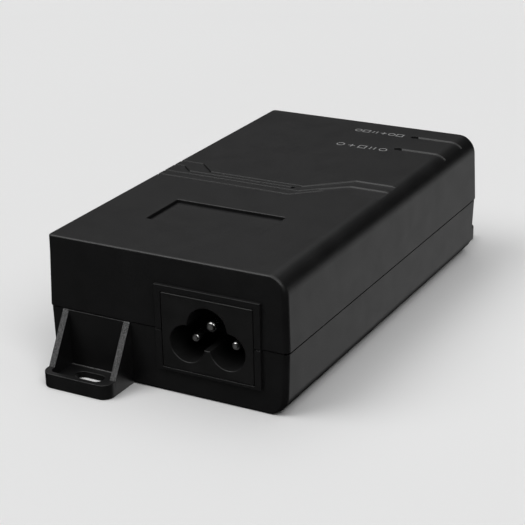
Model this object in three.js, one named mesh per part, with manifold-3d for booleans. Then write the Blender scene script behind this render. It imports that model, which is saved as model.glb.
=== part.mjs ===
// PoE injector: a two-shell plastic case with a three-pin mains inlet at the -X end, two
// shielded RJ45 sockets at the +X end, and one screw ear at each end, on opposite corners.
// Millimetres, +Z up. The origin is the centre of the footprint, on the surface it stands on.

import * as THREE from 'three';
import Module from 'manifold-3d';
import { mergeVertices } from 'three/addons/utils/BufferGeometryUtils.js';

const wasm = await Module();
wasm.setup();

// ---------------------------------------------------------------- driving dimensions

const LENGTH = 107.6;            // case, at the seam
const WIDTH = 60.6;
const HEIGHT = 32;
const SEAM_Z = 15;
const SEAM_GAP = 0.3;
const WALL = 2;
const UPPER_DRAFT = 0.03;        // inward lean of the walls, per millimetre from the seam
const LOWER_DRAFT = 0.02;
const BROAD_EDGE = 4.4;          // the two long edges on the -Y side are broadly rounded
const FINE_EDGE = 0.5;           // every other long edge is nearly sharp
const END_EDGE = 0.5;
const CORNER_RADIUS = 1.5;       // upright corners of the case
const LIP = { height: 1.7, thickness: 0.8, gap: 0.3 };

const CLEARANCE = 0.3;           // between pieces that touch on the real object
const OUTSIDE = 70;              // anywhere past the case and its ears, for tools that cut through
const END_WALL_INSIDE = 50;      // X where tools that pierce an end wall stop

const INLET = {
  centreY: -11, faceX: -54.35, width: 22.6, bottom: 6.4, top: 24, rearX: -38.5, cavityDepth: 12.5,
  bossProud: 0.5, bossSide: 1.7, bossBottom: 0.9, bossTop: 1.6,
  flangeFront: -50.7, flangeRear: -49, flangeProud: 1.2,
};
const PIN_ROW_Z = 12.9;
const PIN_PITCH = 10;
const EARTH_RISE = 4.2;
const POWER_PIN = { radius: 1, lobe: 4.3, tipX: -51 };
const EARTH_PIN = { radius: 1.25, lobe: 4.9, tipX: -52.7 };

const PCB = { bottom: 4.2, top: 5.8, halfLength: 50.5, halfWidth: 26.6 };
const ON_BOARD = PCB.top + 0.1;  // standing height of the parts on the board

const JACK = { width: 16, height: 13.4, depth: 16, faceX: 53.3, sheet: 0.4 };
const JACK_CENTRES = { lan_jack: 1.7, poe_jack: 18.1 };
const PORT = { width: 11.8, height: 6.9, depth: 12.6, latchWidth: 6.2, latchHeight: 1.9, floor: 3.2 };

const EAR = {
  reach: 63.9, inner: 8.9, outer: 26.7, height: 3.45, floor: 1.5, rim: 1.3, corner: 2.6,
  ribThickness: 1.6, ribFoot: 60.6, slotLength: 7.4, slotWidth: 3.4, slotX: 57.7,
};

const LABEL_RECESS = { x0: -35.1, x1: -21.3, y0: -13, y1: 15.5, depth: 0.8 };
const TRACE = { width: 0.85, depth: 0.35 };
const CHANNEL_DEPTH = 0.3;
const LED = { ys: -15.65, holeRadius: 0.95, grooveWidth: 1.2, grooveDepth: 0.45, grooveStart: -16.3 };
const LED_X = { power_led: 35.1, activity_led: 45.9 };

const POSTS = [[-33, -24], [-33, 24], [33, -24], [33, 24]];
const POST = { lowerRadius: 4, upperRadius: 3.2, shaftBore: 1.7, pilotBore: 1.6, counterbore: 2.9 };
const STANDOFF = { offset: 8, radius: 2, clearHole: 2.4 };
const SCREW = { headRadius: 2.6, headHeight: 1.9, seatZ: 2.7, shankRadius: 1.3, tipZ: 24 };
const RATING_LABEL = { length: 56, width: 30, recess: 0.45, bottom: 0.1, top: 0.3 };

// ---------------------------------------------------------------- solids and booleans

function toSolid(geometry) {
  const bare = geometry.clone();
  bare.deleteAttribute('normal');
  bare.deleteAttribute('uv');
  const merged = mergeVertices(bare, 1e-5);
  return new wasm.Manifold(new wasm.Mesh({
    numProp: 3,
    vertProperties: new Float32Array(merged.attributes.position.array),
    triVerts: new Uint32Array(merged.index.array),
  }));
}

function toGeometry(solid) {
  const { vertProperties, triVerts } = solid.getMesh();
  const geometry = new THREE.BufferGeometry();
  geometry.setAttribute('position', new THREE.BufferAttribute(new Float32Array(vertProperties), 3));
  geometry.setIndex(new THREE.BufferAttribute(new Uint32Array(triVerts), 1));
  geometry.computeVertexNormals();
  return geometry;
}

function join(...geometries) {
  const solids = geometries.map(toSolid);
  return toGeometry(solids.reduce((whole, next) => whole.add(next)));
}

function cut(geometry, ...tools) {
  const solids = tools.map(toSolid);
  return toGeometry(solids.reduce((left, tool) => left.subtract(tool), toSolid(geometry)));
}

function common(...geometries) {
  const solids = geometries.map(toSolid);
  return toGeometry(solids.reduce((left, next) => left.intersect(next)));
}

// ---------------------------------------------------------------- basic shapes

function block(x0, x1, y0, y1, z0, z1) {
  const box = new THREE.BoxGeometry(x1 - x0, y1 - y0, z1 - z0);
  return box.translate((x0 + x1) / 2, (y0 + y1) / 2, (z0 + z1) / 2);
}

function extrude(shape, depth, curveSegments = 8) {
  return new THREE.ExtrudeGeometry(shape, { depth, bevelEnabled: false, curveSegments });
}

// A shape drawn in X and Y, standing from z0 to z1.
function prismZ(shape, z0, z1, curveSegments) {
  return extrude(shape, z1 - z0, curveSegments).translate(0, 0, z0);
}

// A shape drawn in Y and Z, running from x0 to x1.
function prismX(shape, x0, x1, curveSegments) {
  const turn = new THREE.Matrix4().makeBasis(
    new THREE.Vector3(0, 1, 0), new THREE.Vector3(0, 0, 1), new THREE.Vector3(1, 0, 0));
  return extrude(shape, x1 - x0, curveSegments).applyMatrix4(turn).translate(x0, 0, 0);
}

// A shape drawn in X and Z, running from y0 to y1.
function prismY(shape, y0, y1, curveSegments) {
  const turn = new THREE.Matrix4().makeBasis(
    new THREE.Vector3(1, 0, 0), new THREE.Vector3(0, 0, 1), new THREE.Vector3(0, -1, 0));
  return extrude(shape, y1 - y0, curveSegments).applyMatrix4(turn).translate(0, y1, 0);
}

function outline(...points) {
  return new THREE.Shape(points.map(([u, v]) => new THREE.Vector2(u, v)));
}

function roundedRectangle(u0, u1, v0, v1, radius) {
  const shape = new THREE.Shape();
  shape.absarc(u1 - radius, v0 + radius, radius, -Math.PI / 2, 0);
  shape.absarc(u1 - radius, v1 - radius, radius, 0, Math.PI / 2);
  shape.absarc(u0 + radius, v1 - radius, radius, Math.PI / 2, Math.PI);
  shape.absarc(u0 + radius, v0 + radius, radius, Math.PI, 1.5 * Math.PI);
  return shape;
}

function postZ(x, y, radius, z0, z1, sides = 20) {
  const post = new THREE.CylinderGeometry(radius, radius, z1 - z0, sides);
  return post.rotateX(Math.PI / 2).translate(x, y, (z0 + z1) / 2);
}

function rodX(y, z, radius, x0, x1, sides = 20) {
  const rod = new THREE.CylinderGeometry(radius, radius, x1 - x0, sides);
  return rod.rotateZ(Math.PI / 2).translate((x0 + x1) / 2, y, z);
}

// A turned piece on an upright axis, from its [radius, height] profile.
function turnedZ(x, y, profile, sides = 20) {
  const points = profile.map(([radius, height]) => new THREE.Vector2(radius, height));
  return new THREE.LatheGeometry(points, sides).rotateX(Math.PI / 2).translate(x, y, 0);
}

// An outline of constant width along a bent line, with mitred corners.
function bentStrip(points, width) {
  const line = points.map(([x, y]) => new THREE.Vector2(x, y));
  const sideAt = (i) => {
    const before = line[i].clone().sub(line[Math.max(i - 1, 0)]).normalize();
    const after = line[Math.min(i + 1, line.length - 1)].clone().sub(line[i]).normalize();
    const mean = before.clone().add(after).normalize();
    const mitre = new THREE.Vector2(-mean.y, mean.x);
    const along = before.lengthSq() > 0 ? before : after;
    return mitre.multiplyScalar(width / 2 / mitre.dot(new THREE.Vector2(-along.y, along.x)));
  };
  const left = line.map((p, i) => p.clone().add(sideAt(i)));
  const right = line.map((p, i) => p.clone().sub(sideAt(i))).reverse();
  return new THREE.Shape([...left, ...right]);
}

// ---------------------------------------------------------------- case halves

// Plan outline of the case pulled in by `inset`, from the seam to `reach` above it (or below it,
// when `side` is -1), leaning inward by the draft.
function leaningBlock(inset, reach, side, draft) {
  const u = LENGTH / 2 - inset;
  const v = WIDTH / 2 - inset;
  const radius = Math.max(CORNER_RADIUS - inset, 0.4);
  const prism = extrude(roundedRectangle(-u, u, -v, v, radius), reach, 3);
  const position = prism.attributes.position;
  for (let i = 0; i < position.count; i += 1) {
    const lean = draft * position.getZ(i);
    position.setX(i, position.getX(i) * (u - lean) / u);
    position.setY(i, position.getY(i) * (v - lean) / v);
  }
  if (side < 0) {
    prism.rotateX(Math.PI);
  }
  return prism.translate(0, 0, SEAM_Z);
}

// Profile across the case, wide open at the seam, whose far corners are rounded to meet the
// leaning walls. It is drawn as [across, distance from the seam].
function edgeProfile(half, reach, draft, radiusMinus, radiusPlus, steps) {
  const tilt = Math.atan(draft);
  const corner = (radius, sign) => {
    const wallAtCentre = half - draft * (reach - radius);
    const centre = wallAtCentre - radius / Math.cos(tilt);
    const points = [];
    for (let i = 0; i <= steps; i += 1) {
      const angle = tilt + (Math.PI / 2 - tilt) * i / steps;
      points.push([sign * (centre + radius * Math.cos(angle)), reach - radius + radius * Math.sin(angle)]);
    }
    return points;
  };
  const plus = corner(radiusPlus, 1);
  const minus = corner(radiusMinus, -1).reverse();
  const open = half + 2;
  return [
    [open, -1], [open, plus[0][1]], ...plus,
    ...minus, [-open, minus[minus.length - 1][1]], [-open, -1],
  ];
}

// One case half without its openings: solid for the outside, or the space inside it.
function caseHalf(side, inset) {
  const draft = side > 0 ? UPPER_DRAFT : LOWER_DRAFT;
  const reach = (side > 0 ? HEIGHT - SEAM_Z : SEAM_Z) - inset;
  const toZ = ([u, w]) => [u, SEAM_Z + side * w];
  const broad = BROAD_EDGE - inset;
  const fine = Math.max(FINE_EDGE - inset, 0.4);
  const end = Math.max(END_EDGE - inset, 0.4);
  const across = edgeProfile(WIDTH / 2 - inset, reach, draft, broad, fine, 6).map(toZ);
  const along = edgeProfile(LENGTH / 2 - inset, reach, draft, end, end, 2).map(toZ);
  if (side < 0) {
    across.reverse();
    along.reverse();
  }
  return common(
    leaningBlock(inset, reach, side, draft),
    prismX(outline(...across), -LENGTH, LENGTH),
    prismY(outline(...along), -WIDTH, WIDTH),
  );
}

// The lip on the lower half stands inside the upper half, all round the seam.
function lipRing(grow) {
  const outerInset = WALL - LIP.thickness - grow;
  const innerInset = WALL + (grow > 0 ? 1 : 0);
  const ring = (inset, z0, z1) => prismZ(
    roundedRectangle(-LENGTH / 2 + inset, LENGTH / 2 - inset, -WIDTH / 2 + inset, WIDTH / 2 - inset, 0.5),
    z0, z1, 2);
  const z0 = SEAM_Z - 1;
  const z1 = SEAM_Z + LIP.height + grow;
  return cut(ring(outerInset, z0, z1), ring(innerInset, z0 - 1, z1 + 1));
}

// Everything between two heights, to trim a case half at the seam.
function layer(z0, z1) {
  return block(-OUTSIDE, OUTSIDE, -OUTSIDE, OUTSIDE, z0, z1);
}

// The raised frame round the mains inlet, cut to one side of the seam.
function inletBoss(z0, z1) {
  const half = INLET.width / 2 + INLET.bossSide;
  const x0 = -LENGTH / 2 - INLET.bossProud;
  return block(x0, -LENGTH / 2 + 1, INLET.centreY - half, INLET.centreY + half, z0, z1);
}

function inletOpening() {
  const half = INLET.width / 2 + CLEARANCE;
  const centre = INLET.centreY;
  return block(-OUTSIDE, -END_WALL_INSIDE, centre - half, centre + half,
    INLET.bottom - CLEARANCE, INLET.top + CLEARANCE);
}

function jackOpenings() {
  const half = JACK.width / 2 + CLEARANCE;
  return Object.values(JACK_CENTRES).map((y) => block(
    END_WALL_INSIDE, OUTSIDE, y - half, y + half,
    ON_BOARD - CLEARANCE, ON_BOARD + JACK.height + CLEARANCE));
}

// ---------------------------------------------------------------- upper housing

// Circuit-like lines across the lid, each a run of [x, y] points that starts off the +Y edge.
const TRACE_LINES = [
  [[3.8, 32], [3.8, 23.6], [-0.8, 18.8], [-0.8, -6.4]],
  [[0.5, 32], [0.5, 27.1], [-2.5, 23.9], [-2.5, -4.6]],
  [[-4.3, 32], [-4.3, -7.1], [-0.9, -11]],
  [[-7.3, 32], [-7.3, -6.3], [-1, -13.2]],
];
const CHANNELS = [
  [[-1.1, -6.1], [8.4, -16.6], [8.4, -34], [5.8, -34], [5.8, -17.5], [-1.1, -9.6]],
  [[-1.2, -10.3], [4.1, -17], [4.1, -34], [-1.2, -34]],
];
const VIA = { x: -2.5, y: -4.9, radius: 0.6, depth: 0.6 };

function ledGroove(x) {
  const centreY = -(WIDTH / 2 - UPPER_DRAFT * (HEIGHT - SEAM_Z - BROAD_EDGE) - BROAD_EDGE);
  const centreZ = HEIGHT - BROAD_EDGE;
  const bed = BROAD_EDGE - LED.grooveDepth;
  const above = BROAD_EDGE + 1;
  const shape = new THREE.Shape();
  shape.moveTo(LED.grooveStart, centreZ + above);
  shape.lineTo(centreY, centreZ + above);
  shape.absarc(centreY, centreZ, above, Math.PI / 2, 0.75 * Math.PI, false);
  shape.absarc(centreY, centreZ, bed, 0.75 * Math.PI, Math.PI / 2, true);
  shape.lineTo(LED.grooveStart, centreZ + bed);
  return prismX(shape, x - LED.grooveWidth / 2, x + LED.grooveWidth / 2, 6);
}

function lidDetails() {
  const top = HEIGHT + 1;
  const r = LABEL_RECESS;
  return [
    block(r.x0, r.x1, r.y0, r.y1, HEIGHT - r.depth, top),
    ...TRACE_LINES.map((line) => prismZ(bentStrip(line, TRACE.width), HEIGHT - TRACE.depth, top)),
    ...CHANNELS.map((corners) => prismZ(outline(...corners), HEIGHT - CHANNEL_DEPTH, top)),
    postZ(VIA.x, VIA.y, VIA.radius, HEIGHT - VIA.depth, top, 12),
    ...Object.values(LED_X).map((x) => postZ(x, LED.ys, LED.holeRadius, HEIGHT - 6, top, 16)),
    ...Object.values(LED_X).map(ledGroove),
  ];
}

function upperHousing() {
  const bossTop = INLET.top + INLET.bossTop;
  const shell = cut(
    join(caseHalf(1, 0), inletBoss(SEAM_Z, bossTop)),
    caseHalf(1, WALL),
    lipRing(LIP.gap),
  );
  const posts = POSTS.map(([x, y]) => postZ(x, y, POST.upperRadius, SEAM_Z, HEIGHT - 1));
  const bores = POSTS.map(([x, y]) => postZ(x, y, POST.pilotBore, SEAM_Z - 1, SCREW.tipZ + 0.6));
  const belowSeam = layer(SEAM_Z - 5, SEAM_Z + SEAM_GAP / 2);
  return cut(
    join(shell, ...posts), ...bores, inletOpening(), ...jackOpenings(), ...lidDetails(), belowSeam);
}

// ---------------------------------------------------------------- lower housing

// One screw ear at the -X end: a rimmed tray with a slot, held to the case by two ribs.
function ear() {
  const inside = -LENGTH / 2 + 1.5;
  const plan = new THREE.Shape();
  plan.moveTo(inside, EAR.inner);
  plan.lineTo(inside, EAR.outer);
  plan.absarc(-EAR.reach + EAR.corner, EAR.outer - EAR.corner, EAR.corner, Math.PI / 2, Math.PI);
  plan.absarc(-EAR.reach + EAR.corner, EAR.inner + EAR.corner, EAR.corner, Math.PI, 1.5 * Math.PI);

  const wallFront = -LENGTH / 2 + 0.2;
  const rib = outline([inside, 0.5], [inside, SEAM_Z - 0.25], [wallFront, SEAM_Z - 0.25],
    [-EAR.ribFoot, EAR.height - 0.2], [-EAR.ribFoot, 0.5]);
  const ribs = [EAR.inner, EAR.outer - EAR.ribThickness].map((y) => prismY(rib, y, y + EAR.ribThickness));

  const y0 = EAR.inner + EAR.ribThickness;
  const y1 = EAR.outer - EAR.ribThickness;
  const inner = EAR.corner - EAR.rim;
  const tray = new THREE.Shape();
  tray.moveTo(-LENGTH / 2, y0);
  tray.lineTo(-LENGTH / 2, y1);
  tray.absarc(-EAR.reach + EAR.rim + inner, y1 - inner, inner, Math.PI / 2, Math.PI);
  tray.absarc(-EAR.reach + EAR.rim + inner, y0 + inner, inner, Math.PI, 1.5 * Math.PI);

  return cut(join(prismZ(plan, 0, EAR.height, 4), ...ribs), prismZ(tray, EAR.floor, SEAM_Z, 4));
}

function earSlot() {
  const half = EAR.slotLength / 2;
  const middle = (EAR.inner + EAR.outer) / 2;
  const slot = roundedRectangle(-EAR.slotX - EAR.slotWidth / 2, -EAR.slotX + EAR.slotWidth / 2,
    middle - half, middle + half, EAR.slotWidth / 2 - 0.01);
  return prismZ(slot, -1, EAR.floor + 1, 5);
}

function lowerHousing() {
  const shell = cut(
    join(caseHalf(-1, 0), inletBoss(INLET.bottom - INLET.bossBottom, SEAM_Z)), caseHalf(-1, WALL));
  const ears = [ear(), ear().rotateZ(Math.PI)];
  const slots = [earSlot(), earSlot().rotateZ(Math.PI)];
  const posts = POSTS.map(([x, y]) => postZ(x, y, POST.lowerRadius, WALL / 2, SEAM_Z));
  const standoffs = POSTS.map(([x, y]) => postZ(
    x - STANDOFF.offset * Math.sign(x), y, STANDOFF.radius, WALL / 2, PCB.bottom - 0.1, 12));
  const bores = POSTS.flatMap(([x, y]) => [
    postZ(x, y, POST.counterbore, -1, SCREW.seatZ + 0.3),
    postZ(x, y, POST.shaftBore, 0, SEAM_Z + 1),
  ]);
  const aboveSeam = layer(SEAM_Z - SEAM_GAP / 2, SEAM_Z + 5);
  const r = RATING_LABEL;
  const labelRecess = block(-r.length / 2 - CLEARANCE, r.length / 2 + CLEARANCE,
    -r.width / 2 - CLEARANCE, r.width / 2 + CLEARANCE, -1, r.recess);
  const body = cut(join(shell, ...ears, ...posts, ...standoffs), aboveSeam);
  const caseOpenings = [inletOpening(), ...jackOpenings()];
  return cut(join(body, lipRing(0)), ...bores, ...slots, ...caseOpenings, labelRecess);
}

// ---------------------------------------------------------------- mains inlet

const pinAxes = {
  line_pin: { y: INLET.centreY + PIN_PITCH / 2, z: PIN_ROW_Z, ...POWER_PIN },
  neutral_pin: { y: INLET.centreY - PIN_PITCH / 2, z: PIN_ROW_Z, ...POWER_PIN },
  earth_pin: { y: INLET.centreY, z: PIN_ROW_Z + EARTH_RISE, ...EARTH_PIN },
};

function inletBody() {
  const half = INLET.width / 2;
  const y0 = INLET.centreY - half;
  const y1 = INLET.centreY + half;
  const sockets = Object.values(pinAxes).map(({ y, z, lobe }) => rodX(
    y, z, lobe, INLET.faceX - 1, INLET.faceX + INLET.cavityDepth, 28));
  const pinHoles = Object.values(pinAxes).map(({ y, z, radius }) => rodX(
    y, z, radius + 0.2, INLET.faceX, INLET.rearX + 1, 12));
  return cut(
    join(
      block(INLET.faceX, INLET.rearX, y0, y1, INLET.bottom, INLET.top),
      block(INLET.flangeFront, INLET.flangeRear, y0 - INLET.flangeProud, y1 + INLET.flangeProud,
        ON_BOARD, INLET.top + 1),
    ),
    ...sockets, ...pinHoles);
}

// A round pin with a domed tip, whose tail turns down through the board.
function inletPin({ y, z, radius, tipX }) {
  const dome = radius * 0.8;
  const tailX = INLET.rearX + (radius > 1.1 ? 3.6 : 1.5);
  const length = tailX - tipX;
  const profile = [[0, 0], [radius * 0.6, dome * 0.2], [radius * 0.9, dome * 0.6], [radius, dome],
    [radius, length], [0, length]].map(([r, h]) => new THREE.Vector2(r, h));
  const shank = new THREE.LatheGeometry(profile, 16).rotateZ(-Math.PI / 2).translate(tipX, y, z);
  return join(shank, postZ(tailX - 0.6, y, 0.6, 3, z, 10));
}

// ---------------------------------------------------------------- RJ45 sockets

function jackShield(y) {
  const { width, height, depth, faceX, sheet } = JACK;
  const half = width / 2;
  const outer = block(faceX - depth, faceX, y - half, y + half, ON_BOARD, ON_BOARD + height);
  const hollow = block(faceX - depth + sheet, faceX + 1, y - half + sheet, y + half - sheet,
    ON_BOARD - 1, ON_BOARD + height - sheet);
  return cut(outer, hollow);
}

function portOutline(y) {
  const floor = ON_BOARD + PORT.floor;
  const half = PORT.width / 2;
  const latch = PORT.latchWidth / 2;
  return outline([y - latch, floor - PORT.latchHeight], [y + latch, floor - PORT.latchHeight],
    [y + latch, floor], [y + half, floor], [y + half, floor + PORT.height],
    [y - half, floor + PORT.height], [y - half, floor], [y - latch, floor]);
}

function jackInsert(y) {
  const gap = JACK.sheet + 0.25;
  const half = JACK.width / 2 - gap;
  const body = block(JACK.faceX - JACK.depth + gap, JACK.faceX - 0.3, y - half, y + half,
    ON_BOARD, ON_BOARD + JACK.height - gap);
  return cut(body, prismX(portOutline(y), JACK.faceX - PORT.depth, JACK.faceX + 1));
}

// Eight spring wires on one comb, slanting down into the socket from its roof.
function jackContacts(y) {
  const roof = ON_BOARD + PORT.floor + PORT.height - CLEARANCE;
  const back = JACK.faceX - PORT.depth + CLEARANCE;
  const comb = block(back, back + 1.5, y - 5.2, y + 5.2, roof - 2, roof);
  const wire = outline([back + 1, roof - 1.9], [back + 1, roof - 1.5], [back + 8.6, roof - 0.2],
    [back + 8.6, roof - 0.6]);
  const wires = [];
  for (let i = 0; i < 8; i += 1) {
    const centre = y + (i - 3.5) * 1.02;
    wires.push(prismY(wire, centre - 0.18, centre + 0.18));
  }
  return join(comb, ...wires);
}

// ---------------------------------------------------------------- board and parts on it

function mainBoard() {
  const { bottom, top, halfLength, halfWidth } = PCB;
  const notches = POSTS.map(([x, y]) => postZ(x, y, POST.lowerRadius + 0.4, bottom - 1, top + 1));
  const tails = Object.values(pinAxes).map(({ y, radius }) => postZ(
    INLET.rearX + (radius > 1.1 ? 3 : 0.9), y, 0.85, bottom - 1, top + 1, 10));
  return cut(block(-halfLength, halfLength, -halfWidth, halfWidth, bottom, top), ...notches, ...tails);
}

// An upright can capacitor: sleeve rolled in at the top, with a dished end.
function canCapacitor(x, y, radius, height) {
  const z0 = ON_BOARD;
  const z1 = z0 + height;
  return turnedZ(x, y, [[0, z0], [radius - 0.4, z0], [radius, z0 + 0.6], [radius, z1 - 0.7],
    [radius - 0.7, z1], [radius - 1.2, z1], [radius - 1.5, z1 - 0.3], [0, z1 - 0.3]]);
}

function transformerCore(x, y) {
  const z = ON_BOARD;
  const outer = block(x - 12.5, x + 12.5, y - 7, y + 7, z + 2, z + 20.5);
  const window = (x0, x1) => block(x0, x1, y - 8, y + 8, z + 5.2, z + 17.3);
  return cut(outer, window(x - 9, x - 3.6), window(x + 3.6, x + 9));
}

// Bobbin and taped winding round the core's middle limb, with a foot that stands on the board.
function transformerWinding(x, y) {
  const z = ON_BOARD;
  const coil = cut(
    prismZ(roundedRectangle(x - 8.6, x + 8.6, y - 11, y + 11, 3), z + 5.5, z + 17, 4),
    block(x - 3.9, x + 3.9, y - 7.3, y + 7.3, z + 5, z + 18));
  const legs = [y - 10.4, y + 8.9].map((y0) => block(x - 8, x + 8, y0, y0 + 1.5, z, z + 6));
  return join(coil, ...legs);
}

function chokeCore(x, y) {
  const z = ON_BOARD + 1.6;
  const outer = block(x - 7, x + 7, y - 3, y + 3, z, z + 14);
  return cut(outer, block(x - 4, x + 4, y - 4, y + 4, z + 3, z + 11));
}

function chokeWinding(x, y) {
  const z = ON_BOARD + 1.6;
  const limb = block(x - 7.3, x - 3.7, y - 3.3, y + 3.3, z, z + 14);
  const coil = (x0) => prismZ(
    roundedRectangle(x0 - 3.6, x0 + 3.6, y - 5.5, y + 5.5, 1.5), z + 3.3, z + 10.7, 3);
  const foot = block(x - 7.5, x + 7.5, y - 6.8, y - 5.2, ON_BOARD, z + 8);
  return cut(join(coil(x - 5.5), coil(x + 5.5), foot), limb, limb.clone().translate(11, 0, 0));
}

function heatSink(x, y0, y1) {
  const z = ON_BOARD;
  return join(
    block(x - 0.8, x + 0.8, y0, y1, z, z + 20),
    block(x - 0.8, x + 4, y0, y0 + 1.6, z, z + 20),
    block(x - 0.8, x + 4, y1 - 1.6, y1, z, z + 20));
}

// A tab-mounted power package standing against its heat sink.
function powerPackage(x, y) {
  const z = ON_BOARD;
  return join(
    block(x - 4.6, x - 1.1, y - 5, y + 5, z + 4, z + 13),
    block(x - 2.4, x - 1.1, y - 5, y + 5, z + 12.5, z + 19),
    block(x - 3.4, x - 2.8, y - 3.2, y - 2.2, z, z + 4.5),
    block(x - 3.4, x - 2.8, y - 0.5, y + 0.5, z, z + 4.5),
    block(x - 3.4, x - 2.8, y + 2.2, y + 3.2, z, z + 4.5));
}

function discCapacitor(x, y) {
  const disc = new THREE.CylinderGeometry(4, 4, 2.6, 20);
  return disc.translate(x, y, ON_BOARD + 5.5);
}

// A gull-wing package: moulded body with a row of leads on both long sides.
function chipPackage(x, y, length, width, height, leads) {
  const z = ON_BOARD;
  const pieces = [block(x - length / 2, x + length / 2, y - width / 2, y + width / 2, z + 0.3, z + height)];
  const pitch = (length - 1) / (leads - 1);
  for (let i = 0; i < leads; i += 1) {
    const centre = x - length / 2 + 0.5 + i * pitch;
    pieces.push(block(centre - 0.25, centre + 0.25, y - width / 2 - 1, y + width / 2 + 1, z, z + 0.6));
  }
  return join(...pieces);
}

function drumInductor(x, y) {
  const z = ON_BOARD;
  return turnedZ(x, y, [[0, z], [5, z], [5, z + 1.5], [3.8, z + 1.8], [3.8, z + 7.2], [5, z + 7.5],
    [5, z + 9], [0, z + 9]]);
}

function boardLed(x) {
  const z = ON_BOARD;
  return turnedZ(x, LED.ys, [[0, z], [1.6, z], [1.6, z + 0.8], [1.35, z + 0.8], [1.3, z + 1.5],
    [0.8, z + 2.2], [0, z + 2.4]], 14);
}

function lightPipe(x) {
  const collarTop = HEIGHT - WALL - 0.3;
  return turnedZ(x, LED.ys, [[0, ON_BOARD + 3], [0.9, ON_BOARD + 3], [0.9, collarTop - 1],
    [1.7, collarTop - 1], [1.7, collarTop], [0.75, collarTop], [0.75, HEIGHT - 0.6], [0, HEIGHT - 0.45]], 14);
}

// ---------------------------------------------------------------- fasteners, sheet and label

// A pan-head tapping screw driven up from the underside, with a cross recess in its head.
function caseScrew(x, y) {
  const { headRadius, headHeight, seatZ, shankRadius, tipZ } = SCREW;
  const faceZ = seatZ - headHeight;
  const body = turnedZ(x, y, [[0, faceZ], [headRadius * 0.7, faceZ], [headRadius, faceZ + 0.6],
    [headRadius, seatZ], [shankRadius, seatZ], [shankRadius, tipZ - 1.5], [0, tipZ]], 16);
  const slot = (halfX, halfY) => block(x - halfX, x + halfX, y - halfY, y + halfY, faceZ - 1, faceZ + 1);
  return cut(body, slot(1.5, 0.35), slot(0.35, 1.5));
}

function insulationSheet() {
  const sheet = block(-49, 49, -25.4, 25.4, WALL + 0.2, WALL + 0.6);
  const holes = POSTS.flatMap(([x, y]) => [
    postZ(x, y, POST.lowerRadius + 0.5, 0, 4, 16),
    postZ(x - STANDOFF.offset * Math.sign(x), y, STANDOFF.clearHole, 0, 4, 12),
  ]);
  return cut(sheet, ...holes);
}

function ratingLabel() {
  const r = RATING_LABEL;
  return prismZ(
    roundedRectangle(-r.length / 2, r.length / 2, -r.width / 2, r.width / 2, 1.5), r.bottom, r.top, 3);
}

// ---------------------------------------------------------------- materials and assembly

const MATERIALS = {
  casePlastic: { color: 0x1b1b1c, roughness: 0.62, metalness: 0 },
  inletPlastic: { color: 0x141415, roughness: 0.5, metalness: 0 },
  plating: { color: 0xc9c9c6, roughness: 0.28, metalness: 1 },
  sheetMetal: { color: 0xb9bbbc, roughness: 0.35, metalness: 1 },
  gold: { color: 0xd9b45a, roughness: 0.3, metalness: 1 },
  jackPlastic: { color: 0x101011, roughness: 0.55, metalness: 0 },
  board: { color: 0x1d4a2c, roughness: 0.6, metalness: 0 },
  ferrite: { color: 0x2b2b2e, roughness: 0.7, metalness: 0 },
  tape: { color: 0xd8c23a, roughness: 0.5, metalness: 0 },
  copper: { color: 0xb5683a, roughness: 0.4, metalness: 1 },
  sleeve: { color: 0x20262e, roughness: 0.4, metalness: 0 },
  aluminium: { color: 0xa9acae, roughness: 0.45, metalness: 1 },
  chip: { color: 0x151517, roughness: 0.6, metalness: 0 },
  yellowBox: { color: 0xd9b22c, roughness: 0.5, metalness: 0 },
  blueDisc: { color: 0x2d5f9e, roughness: 0.5, metalness: 0 },
  ceramic: { color: 0xe6e2d8, roughness: 0.6, metalness: 0 },
  clear: { color: 0xe8eef0, roughness: 0.15, metalness: 0 },
  darkSteel: { color: 0x3a3a3c, roughness: 0.4, metalness: 1 },
  film: { color: 0xcfcfc6, roughness: 0.6, metalness: 0 },
  paper: { color: 0xb4b4b4, roughness: 0.6, metalness: 0 },
};

const injector = new THREE.Group();

function add(name, geometry, look) {
  const mesh = new THREE.Mesh(geometry, new THREE.MeshStandardMaterial(MATERIALS[look]));
  mesh.name = name;
  injector.add(mesh);
}

add('upper_housing', upperHousing(), 'casePlastic');
add('lower_housing', lowerHousing(), 'casePlastic');
add('inlet_body', inletBody(), 'inletPlastic');
for (const [name, axis] of Object.entries(pinAxes)) {
  add(name, inletPin(axis), 'plating');
}
for (const [name, y] of Object.entries(JACK_CENTRES)) {
  add(`${name}_shield`, jackShield(y), 'sheetMetal');
  add(`${name}_insert`, jackInsert(y), 'jackPlastic');
  add(`${name}_contacts`, jackContacts(y), 'gold');
}
for (const [name, x] of Object.entries(LED_X)) {
  add(name, boardLed(x), 'clear');
  add(name.replace('led', 'light_pipe'), lightPipe(x), 'clear');
}
add('main_board', mainBoard(), 'board');
add('insulation_sheet', insulationSheet(), 'film');
add('fuse', prismY(roundedRectangle(-47.8, -44.2, ON_BOARD, ON_BOARD + 3.6, 1.6), 5, 15.5, 4), 'ceramic');
add('x_capacitor', block(-42.5, -34.5, 2.5, 19, ON_BOARD, ON_BOARD + 15), 'yellowBox');
add('choke_core', chokeCore(-20, -14), 'ferrite');
add('choke_winding', chokeWinding(-20, -14), 'copper');
add('bridge_rectifier', block(-30, -15, -2.5, 1, ON_BOARD, ON_BOARD + 11), 'chip');
add('bulk_capacitor', canCapacitor(-24, 14, 7.5, 22), 'sleeve');
add('primary_heat_sink', heatSink(-9.5, -4, 18), 'aluminium');
add('switching_transistor', powerPackage(-9.5, 7), 'chip');
add('transformer_core', transformerCore(7, -10), 'ferrite');
add('transformer_winding', transformerWinding(7, -10), 'tape');
add('y_capacitor', discCapacitor(-2, -23.6), 'blueDisc');
add('optocoupler', chipPackage(2, 6.5, 5, 6.4, 3.5, 2), 'chip');
add('output_inductor', drumInductor(1, 19), 'copper');
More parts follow.
